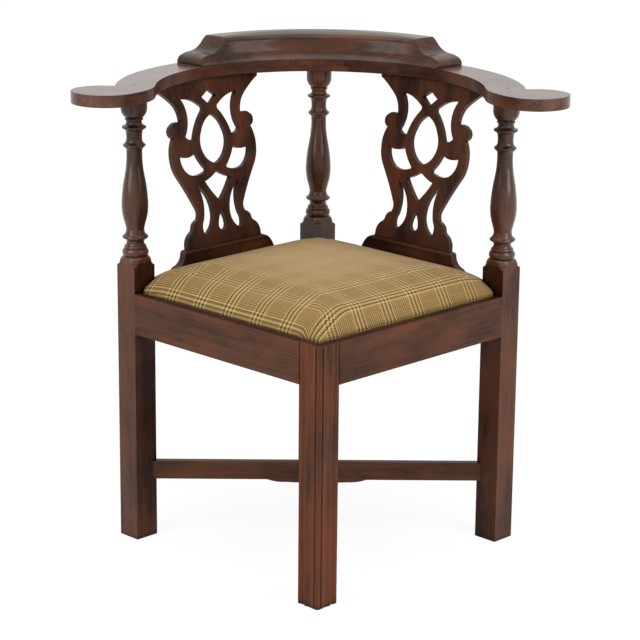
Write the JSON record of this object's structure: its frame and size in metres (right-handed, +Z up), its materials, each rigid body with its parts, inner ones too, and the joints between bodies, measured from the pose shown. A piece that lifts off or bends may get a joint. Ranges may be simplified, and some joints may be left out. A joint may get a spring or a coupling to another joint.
{
  "type": "corner chair",
  "caption": "Square corner chair with turned columns, horseshoe arm rail with raised crest, pierced splats, crossed stretchers and a drop-in checked seat.",
  "frame": {"origin": "on the floor under the middle of the square of legs", "axes": "+Z up, +Y to the back, where the crest is, and +X to the sitter's left, the right of a viewer in front"},
  "size_m": [0.762, 0.6326, 0.7795],
  "materials": {
    "dark_wood": "polished dark mahogany, worn on the edges",
    "plug_wood": "dark end grain",
    "block_wood": "raw",
    "seat_frame_wood": "raw",
    "screw_steel": "dull",
    "tack_steel": "blued",
    "jute_webbing": "coarse weave",
    "stuffing": "felted",
    "checked_cloth": "woven wool in a large check",
    "dust_cloth": "plain weave"
  },
  "bodies": {
    "chair_frame": {"front_leg": "dark_wood", "left_leg": "dark_wood", "right_leg": "dark_wood", "back_leg": "dark_wood", "front_left_rail": "dark_wood", "front_right_rail": "dark_wood", "back_left_rail": "dark_wood", "back_right_rail": "dark_wood", "left_shoe": "dark_wood", "right_shoe": "dark_wood", "left_splat": "dark_wood", "right_splat": "dark_wood", "left_arm": "dark_wood", "right_arm": "dark_wood", "crest_rail": "dark_wood", "side_stretcher": "dark_wood", "front_back_stretcher": "dark_wood", "front_corner_block": "block_wood", "left_corner_block": "block_wood", "right_corner_block": "block_wood", "back_corner_block": "block_wood", "corner_block_screws": "screw_steel", "crest_screws": "screw_steel", "arm_screws": "screw_steel", "arm_plugs": "plug_wood"},
    "drop_in_seat": {"front_left_seat_rail": "seat_frame_wood", "front_right_seat_rail": "seat_frame_wood", "back_left_seat_rail": "seat_frame_wood", "back_right_seat_rail": "seat_frame_wood", "webbing": "jute_webbing", "seat_stuffing": "stuffing", "seat_cover": "checked_cloth", "dust_cloth": "dust_cloth", "cover_tacks": "tack_steel"}
  },
  "joints": [
    {"name": "seat_lift", "type": "slide", "parent": "chair_frame", "child": "drop_in_seat", "axis": [0, 0, 1], "range_m": [0, 0.16]}
  ]
}
